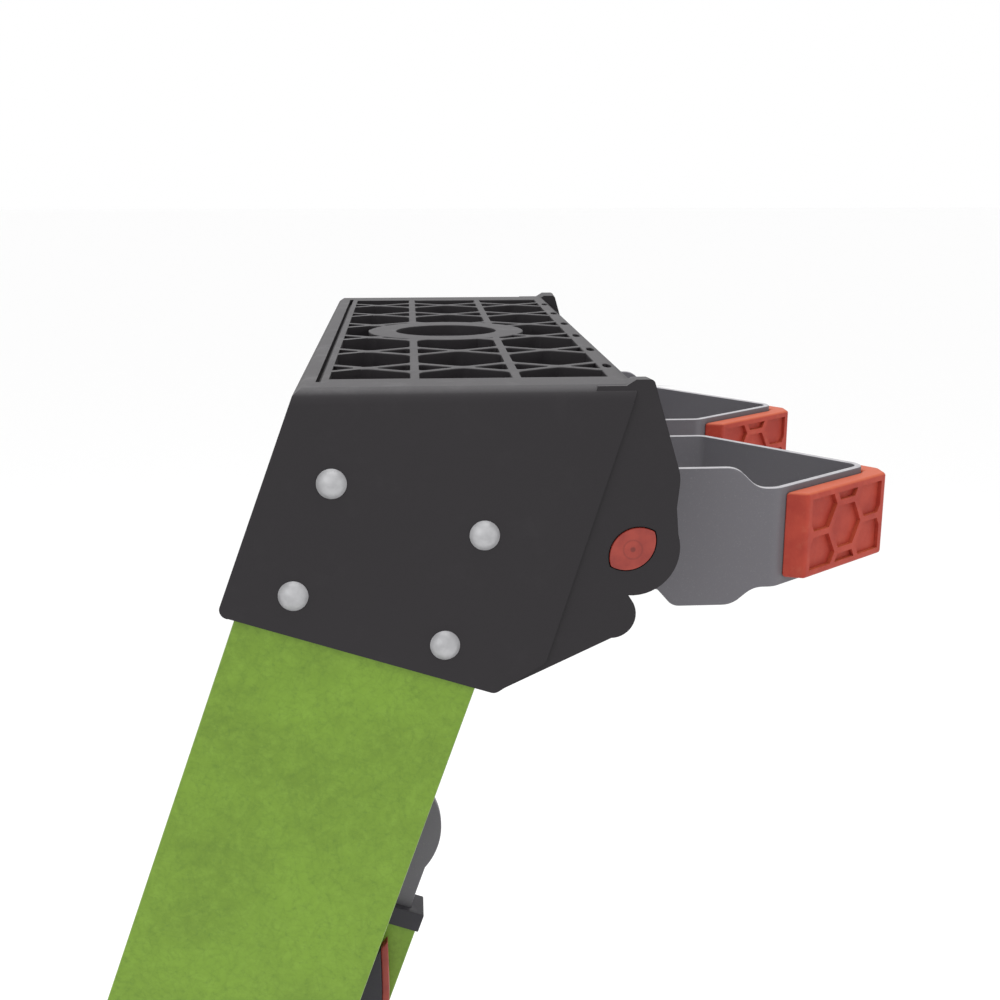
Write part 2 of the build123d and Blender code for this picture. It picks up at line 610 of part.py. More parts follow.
plate_v_range = (REAR_V + REAR_WALL_T + 0.5, REAR_BACK_V - REAR_WALL_T - 2.0)


def rung_u(index):
    return RUNG_START_U + index * RUNG_PITCH_U


def rung_rivet_spots(index):
    v = REAR_BACK_V - REAR_WALL_T - 1.0 - RUNG_FLANGE / 2 - RUNG_T / 2
    return [(rung_u(index) - RUNG_WIDTH / 4, v), (rung_u(index) + RUNG_WIDTH / 4, v)]


def make_rear_rail():
    rail = channel(REAR_V, REAR_WEB, REAR_W, REAR_FLANGE, REAR_WALL_T, REAR_TOP_U, HEIGHT * 1.3)
    rail = closed(opened(rail) & above(-HEIGHT + FOOT_PAD + BOOT_WALL))
    holes = [(u, v, RIVET_R) for u, v in hinge_plate_spots]
    for index in range(RUNG_COUNT):
        holes += [(u, v, RIVET_R) for u, v in rung_rivet_spots(index)]
    holes += [(SPREADER_U, SPREADER_REAR_V, LINK_PIN_R), (LEVER_PIVOT_U, LEVER_PIVOT_V, LEVER_PIN_R)]
    for u, v, radius in holes:
        rail -= side_disc(u, v, radius + HOLE_PLAY, REAR_W - 2, REAR_IN_W + 2)
    return rail


def make_hinge_plate():
    strip = side_block(HINGE_U, HINGE_PLATE_END, *plate_v_range, REAR_IN_W, PLATE_IN_W)
    plate = strip + side_disc(HINGE_U, HINGE_V, HINGE_HEAD_R, REAR_IN_W, PLATE_IN_W)
    for u, v in hinge_plate_spots:
        plate -= side_disc(u, v, RIVET_R + HOLE_PLAY, REAR_IN_W - 2, PLATE_IN_W + 2)
    plate -= side_disc(LEVER_PIVOT_U, LEVER_PIVOT_V, RIVET_TAIL_R + 3.0, REAR_IN_W - 2, PLATE_IN_W + 2)
    return plate - y_bar(hinge, hinge.Y - 40, hinge.Y + 40, HINGE_PIN_R + RUNNING_FIT)


def make_hinge_plate_rivets():
    return both_sides([rivet(u, v, REAR_W, PLATE_IN_W, height=1.4) for u, v in hinge_plate_spots])


def make_rear_rail_cap():
    """A thin plastic cap over the rail's end, slotted for the hinge plate."""
    top, rim, wall = REAR_TOP_U - END_CAP_TOP, REAR_TOP_U + END_CAP_RIM, END_CAP_WALL
    v_range = (REAR_V - wall, REAR_BACK_V + wall)
    block = side_block(top, rim, *v_range, REAR_W - wall, REAR_W + REAR_FLANGE + wall)
    block -= side_block(REAR_TOP_U, rim + 5, REAR_V, REAR_BACK_V, REAR_W, REAR_W + REAR_FLANGE)
    return block - side_block(top - 5, REAR_TOP_U + 2, *plate_v_range, REAR_IN_W, PLATE_IN_W)


def make_rung(index):
    """A channel across the rear section, open to the front, with closed ends."""
    u, v = rung_u(index), REAR_BACK_V - REAR_WALL_T - 1.0

    def bar(half, v0, v1):
        corners = [(u - half, v0), (u + half, v0), (u + half, v1), (u - half, v1)]
        return across([rail_xz(*corner) for corner in corners])

    rung = bar(RUNG_WIDTH / 2, v, v - RUNG_FLANGE) & between_sides(REAR_IN_W)
    hollow = bar(RUNG_WIDTH / 2 - RUNG_T, v - RUNG_T, v - RUNG_FLANGE - 1)
    rung -= hollow & between_sides(REAR_IN_W + END_TAB_T)
    for spot_u, spot_v in rung_rivet_spots(index):
        hole = side_disc(spot_u, spot_v, RIVET_R + HOLE_PLAY, REAR_IN_W - 2, REAR_IN_W + END_TAB_T + 2)
        rung -= hole + mirrored(hole)
    return rung


def make_rung_rivets():
    spots = [spot for index in range(RUNG_COUNT) for spot in rung_rivet_spots(index)]
    return both_sides([rivet(u, v, REAR_W, REAR_IN_W + END_TAB_T, height=1.4) for u, v in spots])


# ---- Spreaders -----------------------------------------------------------------------------------

link_w = (LINK_FRONT_W + LINK_REAR_W + LINK_T) / 2
link_front = side_point(SPREADER_U, SPREADER_FRONT_V, link_w)
link_rear = side_point(SPREADER_U, SPREADER_REAR_V, link_w)


def swung(point, angle):
    """A point of the rear section after it swings out by an angle in degrees."""
    turn = math.radians(angle)
    dx, dz = point.X - hinge.X, point.Z - hinge.Z
    return Vector(
        hinge.X + dx * math.cos(turn) - dz * math.sin(turn),
        point.Y,
        hinge.Z + dx * math.sin(turn) + dz * math.cos(turn),
    )


def flat(vector):
    return Vector(vector.X, 0, vector.Z)


open_span = flat(swung(link_rear, OPEN_ANGLE) - link_front).length
LINK_LENGTH = open_span / 2
closed_span = SPREADER_REAR_V - SPREADER_FRONT_V
middle_rise = math.sqrt(LINK_LENGTH**2 - closed_span**2 / 4)
MIDDLE_U, MIDDLE_V = SPREADER_U - middle_rise, (SPREADER_FRONT_V + SPREADER_REAR_V) / 2
link_middle = side_point(MIDDLE_U, MIDDLE_V, link_w)


def make_link(u0, v0, u1, v1, w0):
    """A flat link with round ends."""
    length = math.hypot(u1 - u0, v1 - v0)
    tilt = math.degrees(math.atan2(-(u1 - u0), v1 - v0))
    face = SlotCenterToCenter(length, LINK_WIDTH)
    face = Pos((v0 + v1) / 2, -(u0 + u1) / 2) * Rot(0, 0, tilt) * face
    return SIDE.location * Pos(0, 0, w0) * extrude(face, LINK_T)


front_spot, middle_spot = (SPREADER_U, SPREADER_FRONT_V), (MIDDLE_U, MIDDLE_V)
rear_spot = (SPREADER_U, SPREADER_REAR_V)
LINK_FRONT_IN_W, LINK_REAR_IN_W = LINK_FRONT_W + LINK_T, LINK_REAR_W + LINK_T
PIN_LIP, PIN_PLAY = 1.6, 0.5


def make_spreader_front():
    link = make_link(*front_spot, *middle_spot, LINK_FRONT_W)
    reach = (LINK_FRONT_W - 3, LINK_FRONT_IN_W + 3)
    link -= side_pin(*front_spot, *reach, LINK_PIN_R + RUNNING_FIT, link_w)
    return link - side_pin(*middle_spot, *reach, LINK_PIN_R, link_w)


def make_spreader_rear():
    """The rear link. Its rear end stops just short of the rear rail's stud, the open pivot."""
    link = make_link(*middle_spot, *rear_spot, LINK_REAR_W)
    reach = (LINK_REAR_W - 3, LINK_REAR_IN_W + 3)
    link -= side_pin(*middle_spot, *reach, LINK_PIN_R + RUNNING_FIT, link_w)
    return link + side_disc(*rear_spot, LINK_PIN_R + 2.0, LINK_REAR_W - PIN_LIP, LINK_REAR_W)


def make_spreader_pins():
    spot = front_spot
    pin = side_pin(*spot, RAIL_W + 0.5, LINK_FRONT_IN_W + 1.2, LINK_PIN_R, link_w)
    pin += side_pin(*spot, WEB_IN_W + 0.6, LINK_FRONT_W - 1.0, LINK_PIN_R + 3.0, link_w)
    head_point = Vector(link_front.X, cheek_y(link_front.Z, RAIL_W), link_front.Z)
    head_place = SIDE.to_local_coords(head_point)
    pin += SIDE.location * Pos(head_place.X, head_place.Y, RAIL_W) * dome(LINK_PIN_R + 3.5, 2.6)
    return both_sides([pin])


def make_spreader_middle_pin():
    spot = middle_spot
    pin = side_pin(*spot, LINK_FRONT_W - PIN_LIP, LINK_REAR_IN_W + 1.0, LINK_PIN_R, link_w)
    pin += side_pin(*spot, LINK_FRONT_W - PIN_LIP, LINK_FRONT_W - 0.5, LINK_PIN_R + 1.6, link_w)
    between = (LINK_FRONT_IN_W + PIN_PLAY, LINK_REAR_W - PIN_PLAY)
    return pin + side_pin(*spot, *between, LINK_PIN_R + 1.6, link_w)


def make_spreader_studs():
    stud = side_disc(*rear_spot, LINK_PIN_R, REAR_W, REAR_IN_W)
    stud += side_disc(*rear_spot, LINK_PIN_R + 2.0, REAR_IN_W, REAR_IN_W + 2.0)
    stud += side_disc(*rear_spot, LINK_PIN_R + 2.0, REAR_W - PIN_LIP, REAR_W)
    return both_sides([stud])


# ---- Lock levers ---------------------------------------------------------------------------------

LEVER_W = REAR_W - 1.6 - LEVER_T


def lever_curve(offset_v):
    """The lever's rear edge as (v, -u) points: a slim tip that swells to the grip."""
    spots = [(-54.0, 10.0), (-40.0, 15.4), (-24.0, 20.8), (-4.0, 24.6)]
    spots += [(32.0, 26.5), (72.0, 24.0), (86.0, 17.0)]
    return [(LEVER_PIVOT_V + v + offset_v, -(LEVER_PIVOT_U + u)) for u, v in spots]


def make_lever_faces():
    back = Spline(*lever_curve(0.0))
    start, end = back @ 0, back @ 1
    upper = (LEVER_PIVOT_V - 8.0, -LEVER_PIVOT_U + 6.0)
    lower = (LEVER_PIVOT_V - 3.0, -LEVER_PIVOT_U - 84.0)
    whole = make_face([back, Polyline(start, upper, lower, end)])
    inset = Spline(*lever_curve(-LEVER_GRIP_T))
    low, high = inset @ 0, inset @ 1
    front_v = LEVER_PIVOT_V - 40.0
    inner = make_face([inset, Polyline(low, (front_v, low.Y), (front_v, high.Y), high)])
    return whole & inner, whole - inner


def make_lever():
    body_face, _ = make_lever_faces()
    lever = SIDE.location * Pos(0, 0, LEVER_W) * extrude(body_face, LEVER_T)
    reach = (LEVER_W - 2, LEVER_W + LEVER_T + 2)
    return lever - side_pin(LEVER_PIVOT_U, LEVER_PIVOT_V, *reach, LEVER_PIN_R + RUNNING_FIT, LEVER_W)


def make_lever_grip():
    _, grip_face = make_lever_faces()
    return SIDE.location * Pos(0, 0, LEVER_W + 0.8) * extrude(grip_face, LEVER_T - 1.6)


def make_lever_pins():
    spot = (LEVER_PIVOT_U, LEVER_PIVOT_V)
    pin = side_pin(*spot, LEVER_W - 2.0, REAR_W - 0.1, LEVER_PIN_R, LEVER_W)
    pin += side_pin(*spot, LEVER_W - 2.2, LEVER_W - 0.6, LEVER_PIN_R + 2.0, LEVER_W)
    pin += side_disc(*spot, LEVER_PIN_R, REAR_W - 0.4, REAR_IN_W)
    pin += side_disc(*spot, LEVER_PIN_R + 2.0, REAR_IN_W, REAR_IN_W + 2.0)
    return both_sides([pin])


# ---- Wall pad ------------------------------------------------------------------------------------

boss_face_y = cheek_y(PAD_PIVOT_Z, EAR_INSET + EAR_THICKNESS) - EAR_BOSS
shaft_end_y = cheek_y(PAD_PIVOT_Z, EAR_INSET + BUTTON_POCKET) - 2.6


def loop_corners(y0):
    return [
        (PAD_PIVOT_X, y0),
        (ARM_BEND_X, y0),
        (PEAK_X, y0 + PEAK_Y),
        (INNER_BEND_X, y0 + LOOP_WIDTH),
        (PAD_PIVOT_X, y0 + LOOP_WIDTH),
    ]


def loop_face(y0, grow):
    """The loop's plan, filled, with rounded bends, grown or shrunk from the band's middle line."""
    face = polygon(loop_corners(y0))
    bends = face.vertices().sort_by(Axis.X)[2:]
    return offset(fillet(bends, BAND_BEND_R), grow, kind=Kind.ARC)


def make_shaft():
    shaft = y_bar(pad_pivot, -shaft_end_y, shaft_end_y, SHAFT_R)
    return shaft - y_bar(pad_pivot, -shaft_end_y - 1, shaft_end_y + 1, SHAFT_BORE_R)


def tall_arm():
    """The taller outer arm's outline, which meets the band in an S curve above and below."""
    px, pz = PAD_PIVOT_X, PAD_PIVOT_Z
    start, end = ARM_TALL_X - ARM_CURVE / 2, ARM_TALL_X + ARM_CURVE / 2
    upper = Bezier((start, ARM_TOP), (ARM_TALL_X, ARM_TOP), (ARM_TALL_X, BAND_TOP), (end, BAND_TOP))
    low_mid = [(ARM_TALL_X, BAND_BOTTOM), (ARM_TALL_X, ARM_BOTTOM)]
    lower = Bezier((end, BAND_BOTTOM), *low_mid, (start, ARM_BOTTOM))
    back = [(start, ARM_BOTTOM), (px + 25.0, ARM_BOTTOM), (px + 10.0, pz - HUB_R - 4.0)]
    outline = [Line((px, ARM_TOP), (start, ARM_TOP)), upper, Line((end, BAND_TOP), (end, BAND_BOTTOM)), lower]
    outline.append(Polyline(*back, (px - 3.0, pz - HUB_R + 0.4), (px, ARM_TOP)))
    face = make_face(outline)
    return fillet(face.vertices().sort_by_distance(back[1])[0], 6.0)


def make_loop(y0, tall_y):
    """One bent band: two arms from the shaft, joined in a right-angled peak; the outer arm is taller."""
    height = BAND_TOP - BAND_BOTTOM
    ring = loop_face(y0, BAND_T / 2) - loop_face(y0, -BAND_T / 2)
    band = Pos(0, 0, BAND_BOTTOM) * extrude(ring, height)
    behind = (Align.MIN, Align.CENTER, Align.CENTER)
    band &= Pos(PAD_PIVOT_X + 4.0, 0, 0) * Box(BIG, BIG, BIG, align=behind)
    px, pz = PAD_PIVOT_X, PAD_PIVOT_Z
    for y in (y0, y0 + LOOP_WIDTH):
        hub = Pos(px, pz) * Circle(HUB_R)
        neck = [(px, BAND_TOP), (px + 24.0, BAND_TOP), (px + 24.0, BAND_BOTTOM)]
        hub += polygon([*neck, (px + 12.0, BAND_BOTTOM), (px - 4.0, pz - HUB_R + 0.6)])
        if y == tall_y:
            hub += tall_arm()
        plate = extrude(Plane.XZ.location * hub, BAND_T / 2, both=True)
        band += Pos(0, y, 0) * plate
    return band - y_bar(pad_pivot, y0 - 20, y0 + LOOP_WIDTH + 20, SHAFT_R)


def make_collars(y0):
    ring = []
    for y, side in ((y0, 1), (y0 + LOOP_WIDTH, -1)):
        face = y + side * BAND_T / 2
        low, high = sorted((face, face + side * COLLAR_LENGTH))
        collar = y_bar(pad_pivot, low, high, SHAFT_R + COLLAR_WALL)
        ring.append(collar - y_bar(pad_pivot, low - 1, high + 1, SHAFT_R))
    return ring


def grip_directions():
    near = Vector(PEAK_X - ARM_BEND_X, PEAK_Y, 0).normalized()
    far = Vector(INNER_BEND_X - PEAK_X, LOOP_WIDTH - PEAK_Y, 0).normalized()
    return near, Vector(near.Y, -near.X, 0), far, Vector(far.Y, -far.X, 0)


def make_grip(y0):
    """A rubber grip round the outside of the peak, flat at the nose, with hexagon recesses."""
    near, near_out, far, far_out = grip_directions()
    bend, peak = Vector(ARM_BEND_X, y0, 0), Vector(PEAK_X, y0 + PEAK_Y, 0)
    last = Vector(INNER_BEND_X, y0 + LOOP_WIDTH, 0)
    face_out, rub = BAND_T / 2, BAND_T / 2 + GRIP_T
    corner = peak + (near_out + far_out) * rub
    back_near = (corner.X - NOSE_X) / near.X
    back_far = (corner.X - NOSE_X) / -far.X
    points = [
        bend + near * GRIP_START,
        bend + near * GRIP_START + near_out * face_out,
        bend + near * (GRIP_START + GRIP_BEVEL) + near_out * rub,
        corner - near * back_near,
        corner + far * back_far,
        last - far * (GRIP_START + GRIP_BEVEL) + far_out * rub,
        last - far * GRIP_START + far_out * face_out,
        last - far * GRIP_START,
        peak,
    ]
    face = polygon([(p.X, p.Y) for p in points]) - loop_face(y0, BAND_T / 2)
    height = GRIP_TOP - GRIP_BOTTOM
    grip = Pos(0, 0, GRIP_BOTTOM) * extrude(face, height)
    mid_z = (GRIP_TOP + GRIP_BOTTOM) / 2
    bevel_end = GRIP_START + GRIP_BEVEL
    near_wall = (bend + near * bevel_end, corner - near * back_near - near_out * rub, near, near_out)
    far_wall = (last - far * bevel_end, corner + far * back_far - far_out * rub, -far, far_out)
    for start, stop, along, out in (near_wall, far_wall):
        length = (stop - start).length
        middle = (start + stop) * 0.5 + out * (rub + 1.0)
        wall = Plane(origin=(middle.X, middle.Y, mid_z), x_dir=along, z_dir=out)
        window = Rectangle(length - 2 * GRIP_MARGIN, height - 2 * GRIP_MARGIN)
        cells = Sketch()
        pitch = math.sqrt(3) * GRIP_HEX + GRIP_RIDGE
        for column in range(-3, 4):
            for row in range(-2, 3):
                x = column * pitch * math.cos(math.radians(30))
                y = (row + (column % 2) / 2) * pitch
                cells += Pos(x, y) * RegularPolygon(GRIP_HEX, 6)
        recess = extrude(wall.location * (cells & window), -GRIP_HEX_DEPTH - 1.0)
        grip -= recess
    return grip


def make_button():
    face_w = EAR_INSET - BUTTON_PROUD
    plate = extrude(leaf(BUTTON_LONG, BUTTON_SHORT), BUTTON_T)
    plate = CHEEK.location * Pos(PAD_PIVOT_X, PAD_PIVOT_Z, face_w) * plate
    y1 = cheek_y(PAD_PIVOT_Z, face_w + BUTTON_T / 2)
    return plate + y_bar(pad_pivot, y1 - STEM_LENGTH, y1, STEM_R)


def make_spring():
    """A short coil between the pocket's floor and the button's plate."""
    inner = cheek_y(PAD_PIVOT_Z, EAR_INSET + BUTTON_POCKET)
    outer = cheek_y(PAD_PIVOT_Z, EAR_INSET - BUTTON_PROUD + BUTTON_T)
    wire, room = SPRING_WIRE / 2, 0.55
    length = outer - inner - 2 * (wire + room)
    path = Helix(pitch=length / SPRING_TURNS, height=length, radius=SPRING_R)
    start = Plane(origin=path @ 0, z_dir=path % 0)
    coil = sweep(start * Circle(wire), path=path, is_frenet=True)
    return Pos(pad_pivot.X, inner + wire + room, pad_pivot.Z) * Rot(-90, 0, 0) * coil


# ---- All pieces ----------------------------------------------------------------------------------

nodes = {"top_cap": make_cap(), "cap_rivets": make_cap_rivets()}


def add_pair(name, left):
    nodes[name + "_left"] = left
    nodes[name + "_right"] = mirrored(left)


add_pair("front_rail", make_front_rail())
add_pair("hinge_bracket", make_hinge_bracket())
nodes["hinge_pins"] = both_sides([make_hinge_pin()])
for number in range(1, STEP_COUNT + 1):
    nodes[f"step_{number}"] = make_step(number)
nodes["step_rivets"] = make_step_rivets()
add_pair("knee_brace", make_brace())
nodes["brace_rivets"] = make_brace_rivets()
front_boot, front_sole = make_front_foot()
add_pair("front_foot", front_boot)
add_pair("front_foot_pad", front_sole)
nodes["foot_rivets"] = make_foot_rivets()

add_pair("rear_rail", make_rear_rail())
add_pair("rear_rail_cap", make_rear_rail_cap())
add_pair("hinge_plate", make_hinge_plate())
nodes["hinge_plate_rivets"] = make_hinge_plate_rivets()
for index in range(RUNG_COUNT):
    nodes[f"rear_rung_{index + 1}"] = make_rung(index)
nodes["rung_rivets"] = make_rung_rivets()
rear_boot, rear_sole = make_rear_foot()
add_pair("rear_foot", rear_boot)
add_pair("rear_foot_pad", rear_sole)

add_pair("spreader_front", make_spreader_front())
add_pair("spreader_rear", make_spreader_rear())
add_pair("spreader_middle_pin", make_spreader_middle_pin())
nodes["spreader_pins"] = make_spreader_pins()
nodes["spreader_studs"] = make_spreader_studs()

add_pair("lock_lever", make_lever())
add_pair("lock_lever_grip", make_lever_grip())
nodes["lock_lever_pins"] = make_lever_pins()

nodes["wall_pad_shaft"] = make_shaft()
near_y, far_y = -PAIR_HALF, -PAIR_HALF + LOOP_PITCH
nodes["wall_pad_loop_right"] = make_loop(near_y, near_y)
nodes["wall_pad_loop_left"] = make_loop(far_y, far_y + LOOP_WIDTH)
nodes["wall_pad_grip_right"] = make_grip(near_y)
nodes["wall_pad_grip_left"] = make_grip(far_y)
nodes["shaft_collars"] = make_collars(near_y) + make_collars(far_y)
add_pair("release_button", make_button())
add_pair("button_spring", make_spring())

# ---- Placement and export ------------------------------------------------------------------------


def as_compound(piece):
    shapes = piece if isinstance(piece, list) else [piece]
    return Compound([solid for shape in shapes for solid in shape.solids()])


pieces = {name: as_compound(piece) for name, piece in nodes.items()}
box = Compound(list(pieces.values())).bounding_box()
shift = Vector(-(box.min.X + box.max.X) / 2, 0, HEIGHT)

os.makedirs("parts", exist_ok=True)
for name, piece in pieces.items():
    export_step(Pos(*shift) * piece, f"parts/{name}.step")
print("nodes", len(pieces), "shift", tuple(round(c, 3) for c in shift), "box", box.size)

lever_pivot = side_point(LEVER_PIVOT_U, LEVER_PIVOT_V, LEVER_W)
print("rear hinge", hinge + shift, "turns", OPEN_ANGLE)
print("wall pad", pad_pivot + shift, "turns", STOW_ANGLE)
print("lock lever", lever_pivot + shift, "turns", LEVER_SWING)
print("spreader pins", link_front + shift, link_middle + shift, link_rear + shift)
print("release button travel", BUTTON_TRAVEL)
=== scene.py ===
import json
import math

import bpy
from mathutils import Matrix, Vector

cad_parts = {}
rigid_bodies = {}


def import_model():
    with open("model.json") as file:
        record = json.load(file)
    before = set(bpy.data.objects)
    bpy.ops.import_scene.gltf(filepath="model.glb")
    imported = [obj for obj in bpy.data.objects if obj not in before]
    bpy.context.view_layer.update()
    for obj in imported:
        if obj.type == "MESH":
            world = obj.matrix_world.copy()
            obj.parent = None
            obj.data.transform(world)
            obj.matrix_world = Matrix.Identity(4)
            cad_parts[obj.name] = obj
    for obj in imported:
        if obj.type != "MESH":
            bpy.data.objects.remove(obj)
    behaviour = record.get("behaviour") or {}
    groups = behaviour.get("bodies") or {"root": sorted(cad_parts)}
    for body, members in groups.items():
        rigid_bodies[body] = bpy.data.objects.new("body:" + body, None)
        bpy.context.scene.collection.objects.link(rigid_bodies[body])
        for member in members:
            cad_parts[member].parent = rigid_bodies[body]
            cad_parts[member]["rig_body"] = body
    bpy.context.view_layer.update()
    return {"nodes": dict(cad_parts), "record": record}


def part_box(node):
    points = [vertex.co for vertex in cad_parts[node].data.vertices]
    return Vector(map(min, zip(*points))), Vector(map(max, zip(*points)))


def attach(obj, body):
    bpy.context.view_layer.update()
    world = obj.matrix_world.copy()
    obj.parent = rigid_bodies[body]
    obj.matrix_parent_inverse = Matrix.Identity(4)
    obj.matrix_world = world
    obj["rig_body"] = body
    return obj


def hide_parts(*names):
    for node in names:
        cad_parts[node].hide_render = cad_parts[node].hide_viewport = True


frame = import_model()

# Everything is in metres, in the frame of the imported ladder: +Z up, +X towards the wall.
MM = 0.001

# The colour sockets of a Mix node, by number, as its names are shared with its other types.
MIX_FIRST, MIX_SECOND, MIX_RESULT = 6, 7, 2


# ---- Shader maths --------------------------------------------------------------------------------


class Wire:
    """A shader socket that takes Python's arithmetic; each operator adds a Math node."""

    def __init__(self, finish, socket):
        self.finish, self.socket = finish, socket

    def maths(self, operation, *values):
        return self.finish.node("Math", {"operation": operation}, *values)

    def __add__(self, other):
        return self.maths("ADD", self, other)

    def __sub__(self, other):
        return self.maths("SUBTRACT", self, other)

    def __rsub__(self, other):
        return self.maths("SUBTRACT", other, self)

    def __mul__(self, other):
        return self.maths("MULTIPLY", self, other)

    __radd__ = __add__
    __rmul__ = __mul__

    def ramp(self, low, high):
        """0 below low, 1 above high and a smooth rise between them."""
        limits = {"From Min": low, "From Max": high}
        return self.finish.node("MapRange", {"interpolation_type": "SMOOTHSTEP"}, self, **limits)


class Finish:
    """A material under construction, with one Principled shader."""

    def __init__(self, name, **constants):
        self.material = bpy.data.materials.new(name)
        self.material.use_nodes = True
        self.nodes = self.material.node_tree.nodes
        self.links = self.material.node_tree.links
        self.nodes.clear()
        self.shader = self.nodes.new("ShaderNodeBsdfPrincipled")
        output = self.nodes.new("ShaderNodeOutputMaterial")
        self.links.new(self.shader.outputs[0], output.inputs[0])
        self.place = self.node("TexCoord", out="Object")
        self.set(**constants)

    def plug(self, socket, value):
        if isinstance(value, Wire):
            self.links.new(value.socket, socket)
        else:
            socket.default_value = value

    def node(self, kind, settings=None, *values, out=0, at=0, **named):
        """Adds a node: its settings, then its sockets in order from at, then its named sockets."""
        node = self.nodes.new("ShaderNode" + kind)
        for key, value in (settings or {}).items():
            setattr(node, key, value)
        for index, value in enumerate(values):
            self.plug(node.inputs[at + index], value)
        for key, value in named.items():
            self.plug(node.inputs[key], value)
        return Wire(self, node.outputs[out])

    def set(self, **sockets):
        for key, value in sockets.items():
            self.plug(self.shader.inputs[key.replace("_", " ")], value)

    def turned(self, turn=(0, 0, 0), stretch=(1, 1, 1)):
        """Coordinates in which a pattern lies turned, and this many times longer each way."""
        settings = {"vector_type": "TEXTURE"}
        return self.node("Mapping", settings, self.place, Rotation=turn, Scale=stretch)

    def facing(self, axis):
        """How far the surface faces up an axis of the object, from -1 to 1."""
        normal = self.node("TexCoord", out="Normal")
        return self.node("SeparateXYZ", None, normal, out=axis)

    def distance(self, offset, size):
        """Distance from a line along Y, in units of size; the offset brings that line to zero."""
        spot = self.node("Mapping", None, self.place, Location=offset, Scale=(1.0, 0.0, 1.0))
        return self.node("VectorMath", {"operation": "LENGTH"}, spot, out="Value") * (1 / size)

    def noise(self, size, detail=2.0, rough=0.5, place=None):
        """Noise whose grains are about this size, from 0 to 1."""
        named = {"Scale": 1 / size, "Detail": detail, "Roughness": rough}
        return self.node("TexNoise", None, place or self.place, **named)

    def cells(self, size, place=None):
        """Distance to the nearest of scattered points, in cells of about this size."""
        return self.node("TexVoronoi", None, place or self.place, Scale=1 / size)

    def mix(self, amount, first, second):
        """The first colour at 0 and the second at 1."""
        result = self.node("Mix", {"data_type": "RGBA"}, amount, out=MIX_RESULT)
        inputs = result.socket.node.inputs
        self.plug(inputs[MIX_FIRST], first)
        self.plug(inputs[MIX_SECOND], second)
        return result

    def bump(self, height, depth, strength):
        named = {"Height": height, "Distance": depth, "Strength": strength}
        self.set(Normal=self.node("Bump", None, **named))


def rgb(red, green, blue):
    """A linear colour from the usual 0 to 255 values."""
    colour = []
    for share in (red / 255, green / 255, blue / 255):
        colour.append(share / 12.92 if share <= 0.04045 else ((share + 0.055) / 1.055) ** 2.4)
    return (*colour, 1.0)


# ---- Materials -----------------------------------------------------------------------------------

# Both release buttons lie on one line along Y, so one offset serves the two.
button_low, button_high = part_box("release_button_right")
button_middle = (button_low + button_high) / 2
BUTTON_OFFSET = (-button_middle.x, 0.0, -button_middle.z)

# How the veil's strands cross in the rails' webs, in degrees.
STRAND_ANGLES = (14, 47, 83, 118, 152)


def moulded_plastic(name, dark, light, grain=0.9 * MM, rough=0.46, top_highlight_and_wear=0.5):
    """Spark-eroded moulding texture with faint flow marks, paler patches worn by hands and feet,
    and a painted highlight on faces turned up.
    """
    finish = Finish(name, Specular_IOR_Level=0.3)
    flow = finish.noise(55 * MM, 3.0)
    wear_and_highlight = finish.noise(16 * MM, 4.0, 0.65).ramp(0.52, 0.8)
    pits = finish.noise(grain, 2.0, 0.6)
    top_lit_mask = finish.facing("Z").ramp(0.55, 0.95)
    body = finish.mix(flow * 0.6 + wear_and_highlight * 0.4, dark, light)
    # Painted highlight: faces turned up are lightened towards a pale grey, more where the surface
    # is worn.
    body = finish.mix(top_lit_mask * (0.6 + wear_and_highlight * 0.4) * top_highlight_and_wear, body, rgb(84, 82, 85))
    finish.set(Base_Color=body, Roughness=rough + flow * 0.08 - wear_and_highlight * 0.07 + pits * 0.06)
    finish.bump(pits, 0.07 * MM, 0.6)
    return finish.material


def fibreglass():
    """Green pultruded glass fibre: a mottled surfacing veil of crossing strands under resin."""
    resin = {"Specular_IOR_Level": 0.35, "Coat_Weight": 0.06, "Coat_Roughness": 0.35}
    finish = Finish("green_fibreglass", **resin)
    veil = 0.0
    for index, angle in enumerate(STRAND_ANGLES):
        lay = finish.turned((0, math.radians(angle), 0), (4.5, 1, 1))
        strands = finish.noise((1.1 + 0.2 * index) * MM, 2.0, 0.6, lay).ramp(0.5, 0.7)
        veil = strands + veil
    veil = veil * 0.28
    cloud = finish.noise(48 * MM, 3.0, 0.6)
    mottle = finish.noise(5 * MM, 4.0, 0.72)
    specks = finish.noise(1.9 * MM, 2.0, 0.6).ramp(0.62, 0.74)
    body = finish.mix(cloud.ramp(0.3, 0.7), rgb(99, 129, 36), rgb(112, 146, 42))
    body = finish.mix(mottle.ramp(0.4, 0.75) * 0.5, body, rgb(123, 157, 54))
    body = finish.mix(veil * 0.55, body, rgb(82, 112, 34))
    body = finish.mix(specks * 0.22, body, rgb(76, 106, 40))
    finish.set(Base_Color=body, Roughness=0.44 + mottle * 0.12 + veil * 0.1)
    finish.bump(veil * 0.5 + mottle * 0.5, 0.06 * MM, 0.5)
    return finish.material


